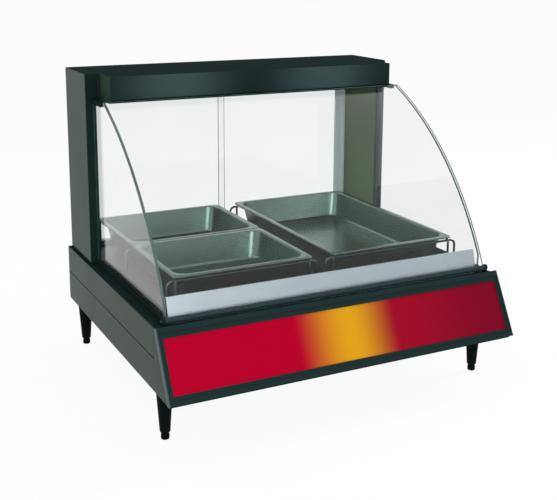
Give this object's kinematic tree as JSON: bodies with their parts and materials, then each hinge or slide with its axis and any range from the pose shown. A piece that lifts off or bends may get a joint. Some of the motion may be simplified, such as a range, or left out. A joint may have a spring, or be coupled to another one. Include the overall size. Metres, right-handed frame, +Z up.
{
  "type": "heated display case",
  "caption": "Countertop heated display case with curved tilting front glass, sliding rear doors, an infrared canopy and serving pans in wire racks over a heated deck.",
  "frame": {"origin": "middle of the footprint, on the surface that the feet stand on", "axes": "+Z up; the customer's side with the sign faces -Y; +X is right, seen from the front"},
  "size_m": [0.834, 0.7462, 0.699],
  "materials": {
    "black_paint": "black powder coat, semi-matt",
    "side_paint": "black powder coat, semi-matt",
    "satin_metal": "satin anodised",
    "deck_steel": "dark hard coat",
    "pan_steel": "drawn stainless steel, satin",
    "rack_wire": "bright plated wire",
    "clear_glass": "clear toughened glass with green edges",
    "sign_film": "printed red to yellow fade under a glossy film",
    "black_plastic": "moulded, fine texture",
    "switch_red": "translucent red rocker",
    "ceramic": "unglazed, off-white",
    "heater_steel": "heat-tinted sheath",
    "lamp_glass": "coated lamp bulb",
    "insulation": "mineral wool board"
  },
  "bodies": {
    "case": {"lower_body": "side_paint", "left_side_panel": "side_paint", "right_side_panel": "side_paint", "rear_panel": "black_paint", "bottom_cover": "black_paint", "heated_deck": "deck_steel", "deck_element": "heater_steel", "insulation_pad": "insulation", "left_post": "side_paint", "right_post": "side_paint", "left_pivot_bracket": "black_paint", "right_pivot_bracket": "black_paint", "left_side_glass": "clear_glass", "right_side_glass": "clear_glass", "left_glass_channel": "black_paint", "right_glass_channel": "black_paint", "left_top_rail": "black_paint", "right_top_rail": "black_paint", "left_lamp": "lamp_glass", "right_lamp": "lamp_glass", "left_lamp_socket": "ceramic", "right_lamp_socket": "ceramic", "canopy_housing": "black_paint", "reflector": "satin_metal", "infrared_element": "heater_steel", "left_element_clip": "ceramic", "right_element_clip": "ceramic", "lamp_guard": "rack_wire", "front_apron": "satin_metal", "sign_frame": "black_paint", "sign_insert": "sign_film", "left_sign_cap": "satin_metal", "right_sign_cap": "satin_metal", "lower_door_track": "satin_metal", "upper_door_track": "satin_metal", "thermostat": "black_plastic", "switch_bezel": "black_plastic", "power_inlet": "black_plastic", "left_rack": "rack_wire", "right_rack": "rack_wire", "front_left_leg": "black_plastic", "rear_left_leg": "black_plastic", "front_right_leg": "black_plastic", "rear_right_leg": "black_plastic"},
    "front_glass": {"front_glass": "clear_glass", "pivot_rail": "black_paint"},
    "left_door": {"left_door_glass": "clear_glass", "left_door_pull": "satin_metal"},
    "right_door": {"right_door_glass": "clear_glass", "right_door_pull": "satin_metal"},
    "thermostat_knob": {"thermostat_knob": "black_plastic"},
    "heat_switch": {"heat_switch": "switch_red"},
    "light_switch": {"light_switch": "switch_red"},
    "full_pan": {"full_pan": "pan_steel"},
    "front_half_pan": {"front_half_pan": "pan_steel"},
    "rear_half_pan": {"rear_half_pan": "pan_steel"},
    "front_left_foot": {"front_left_foot": "black_plastic"},
    "rear_left_foot": {"rear_left_foot": "black_plastic"},
    "front_right_foot": {"front_right_foot": "black_plastic"},
    "rear_right_foot": {"rear_right_foot": "black_plastic"}
  },
  "joints": [
    {"name": "front_glass_tilt", "type": "hinge", "parent": "case", "child": "front_glass", "pos_m": [0, -0.2871, 0.26], "axis": [1, 0, 0], "range_deg": [0, 60]},
    {"name": "left_door_slide", "type": "slide", "parent": "case", "child": "left_door", "axis": [1, 0, 0], "range_m": [0, 0.355]},
    {"name": "right_door_slide", "type": "slide", "parent": "case", "child": "right_door", "axis": [-1, 0, 0], "range_m": [0, 0.355]},
    {"name": "thermostat_turn", "type": "hinge", "parent": "case", "child": "thermostat_knob", "pos_m": [-0.27, 0.3489, 0.182], "axis": [0, -1, 0], "range_deg": [0, 270]},
    {"name": "heat_switch_rock", "type": "hinge", "parent": "case", "child": "heat_switch", "pos_m": [-0.19, 0.3459, 0.182], "axis": [1, 0, 0], "range_deg": [0, 14]},
    {"name": "light_switch_rock", "type": "hinge", "parent": "case", "child": "light_switch", "pos_m": [-0.15, 0.3459, 0.182], "axis": [1, 0, 0], "range_deg": [0, 14]},
    {"name": "full_pan_lift", "type": "slide", "parent": "case", "child": "full_pan", "axis": [0, 0, 1], "range_m": [0, 0.062]},
    {"name": "front_half_pan_lift", "type": "slide", "parent": "case", "child": "front_half_pan", "axis": [0, 0, 1], "range_m": [0, 0.062]},
    {"name": "rear_half_pan_lift", "type": "slide", "parent": "case", "child": "rear_half_pan", "axis": [0, 0, 1], "range_m": [0, 0.075]},
    {"name": "front_left_foot_turn", "type": "hinge", "parent": "case", "child": "front_left_foot", "pos_m": [-0.3875, -0.2646, 0], "axis": [0, 0, 1], "continuous": true},
    {"name": "rear_left_foot_turn", "type": "hinge", "parent": "case", "child": "rear_left_foot", "pos_m": [-0.3875, 0.3029, 0], "axis": [0, 0, 1], "continuous": true},
    {"name": "front_right_foot_turn", "type": "hinge", "parent": "case", "child": "front_right_foot", "pos_m": [0.3875, -0.2646, 0], "axis": [0, 0, 1], "continuous": true},
    {"name": "rear_right_foot_turn", "type": "hinge", "parent": "case", "child": "rear_right_foot", "pos_m": [0.3875, 0.3029, 0], "axis": [0, 0, 1], "continuous": true}
  ]
}
